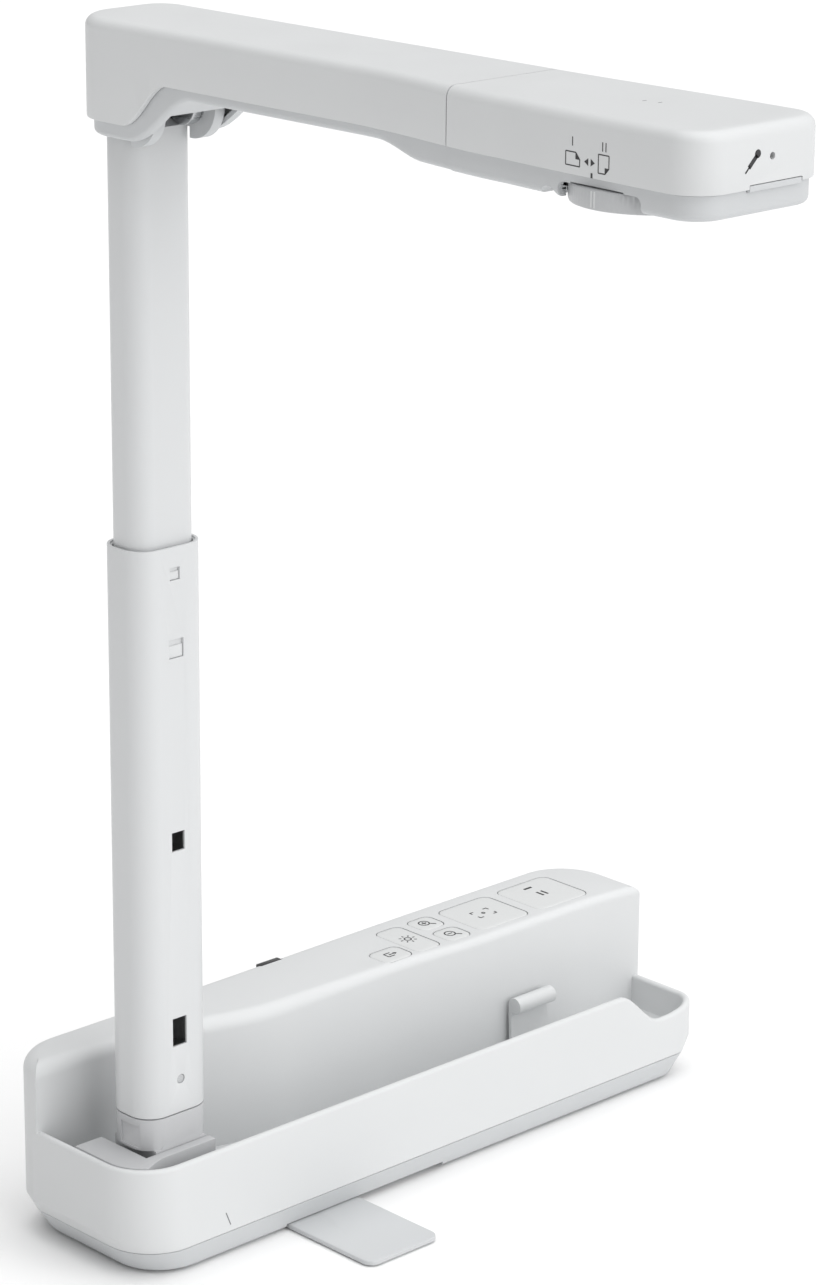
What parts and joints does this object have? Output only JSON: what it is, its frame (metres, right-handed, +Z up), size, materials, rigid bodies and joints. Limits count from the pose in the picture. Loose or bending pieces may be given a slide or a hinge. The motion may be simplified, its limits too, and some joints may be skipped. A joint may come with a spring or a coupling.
{
  "type": "document camera",
  "caption": "Folding document camera: weighted base with control keys, telescopic column, folding arm and a rotating camera head over the desk.",
  "frame": {"origin": "on the desk, under the middle of the whole object's bounding box", "axes": "+Z up; +X along the base from the column to the large keys; -Y the way the arm reaches out over the desk"},
  "size_m": [0.265, 0.298, 0.405],
  "materials": {
    "shell_white": "fine satin texture, off-white",
    "shell_grey": "fine satin texture, light grey",
    "key_white": "smooth satin, off-white",
    "tube_white": "smooth satin paint",
    "dial_grey": "satin-gloss light grey",
    "steel": "plain",
    "rubber": "matte",
    "dark_plastic": "satin",
    "board": "solder-masked board",
    "glass": "coated lens",
    "lamp_clear": "frosted lens",
    "led_yellow": "phosphor"
  },
  "bodies": {
    "base": {"base_upper_shell": "shell_white", "base_lower_shell": "shell_grey", "hinge_housing": "shell_grey", "hinge_bracket": "steel", "column_hinge_pin": "steel", "hinge_washers": "steel", "hinge_nut": "steel", "ballast_plate": "steel", "rubber_feet": "rubber", "base_screws": "steel", "main_board": "board", "key_board": "board", "tact_switches": "dark_plastic", "usb_socket": "steel", "status_window": "dark_plastic", "foot_pivot": "steel", "base_harness": "dark_plastic"},
    "catch": {"column_catch": "shell_white"},
    "source": {"key_source": "key_white"},
    "brightness": {"key_brightness": "key_white"},
    "zoom_in": {"key_zoom_in": "key_white"},
    "zoom_out": {"key_zoom_out": "key_white"},
    "focus": {"key_focus": "key_white"},
    "freeze": {"key_freeze": "key_white"},
    "foot": {"foot_plate": "shell_grey", "foot_pad": "rubber"},
    "column": {"column_knuckle": "shell_grey", "lower_tube": "tube_white", "column_screw": "steel", "tube_guide": "shell_white"},
    "mast": {"upper_tube": "tube_white", "slide_shoe": "dark_plastic", "elbow_yoke": "shell_grey", "arm_hinge_pin": "steel", "friction_washers": "steel", "yoke_screws": "steel"},
    "arm": {"arm_upper_shell": "shell_white", "arm_lower_shell": "shell_grey", "arm_hinge_bracket": "steel", "arm_screws": "steel", "arm_cable": "dark_plastic", "swivel_bush": "dark_plastic"},
    "head": {"head_upper_shell": "shell_white", "head_lower_shell": "shell_grey", "swivel_tube": "steel", "head_board": "board", "microphone": "dark_plastic", "lamp_led": "led_yellow", "lamp_lens": "lamp_clear", "head_screws": "steel"},
    "dial": {"rotation_dial": "dial_grey", "lens_barrel": "dark_plastic", "lens_glass": "glass", "sensor_board": "board"},
    "lamp_key": {"lamp_bar": "shell_grey"}
  },
  "joints": [
    {"name": "column_fold", "type": "hinge", "parent": "base", "child": "column", "pos_m": [-0.1039, 0.10095, 0.0335], "axis": [0, 1, 0], "range_deg": [0, 78]},
    {"name": "column_slide", "type": "slide", "parent": "column", "child": "mast", "axis": [0, 0, -1], "range_m": [0, 0.1]},
    {"name": "arm_fold", "type": "hinge", "parent": "mast", "child": "arm", "pos_m": [-0.1039, 0.09145, 0.378], "axis": [-1, 0, 0], "range_deg": [-90, 0]},
    {"name": "head_twist", "type": "hinge", "parent": "arm", "child": "head", "pos_m": [-0.1053, -0.05305, 0.394], "axis": [0, -1, 0], "range_deg": [0, 90]},
    {"name": "dial_turn", "type": "hinge", "parent": "head", "child": "dial", "pos_m": [-0.1109, -0.11255, 0.383], "axis": [0, 0, 1], "range_deg": [0, 90]},
    {"name": "foot_swing", "type": "hinge", "parent": "base", "child": "foot", "pos_m": [-0.0505, 0.09445, 0.0013], "axis": [0, 0, 1], "range_deg": [0, 90]},
    {"name": "catch_flex", "type": "hinge", "parent": "base", "child": "catch", "pos_m": [0.0759, 0.10975, 0.0171], "axis": [-1, 0, 0], "range_deg": [0, 3], "stiffness_Nm_per_rad": 0.6, "springref_deg": -1.15},
    {"name": "lamp_press", "type": "slide", "parent": "head", "child": "lamp_key", "axis": [0, 1, 0], "range_m": [0, 0.0008], "stiffness_N_per_m": 300, "springref_m": -0.0005},
    {"name": "source_press", "type": "slide", "parent": "base", "child": "source", "axis": [0, 0, -1], "range_m": [0, 0.0006], "stiffness_N_per_m": 300, "springref_m": -0.0005},
    {"name": "brightness_press", "type": "slide", "parent": "base", "child": "brightness", "axis": [0, 0, -1], "range_m": [0, 0.0006], "stiffness_N_per_m": 300, "springref_m": -0.0005},
    {"name": "zoom_in_press", "type": "slide", "parent": "base", "child": "zoom_in", "axis": [0, 0, -1], "range_m": [0, 0.0006], "stiffness_N_per_m": 300, "springref_m": -0.0005},
    {"name": "zoom_out_press", "type": "slide", "parent": "base", "child": "zoom_out", "axis": [0, 0, -1], "range_m": [0, 0.0006], "stiffness_N_per_m": 300, "springref_m": -0.0005},
    {"name": "focus_press", "type": "slide", "parent": "base", "child": "focus", "axis": [0, 0, -1], "range_m": [0, 0.0006], "stiffness_N_per_m": 300, "springref_m": -0.0005},
    {"name": "freeze_press", "type": "slide", "parent": "base", "child": "freeze", "axis": [0, 0, -1], "range_m": [0, 0.0006], "stiffness_N_per_m": 300, "springref_m": -0.0005}
  ]
}
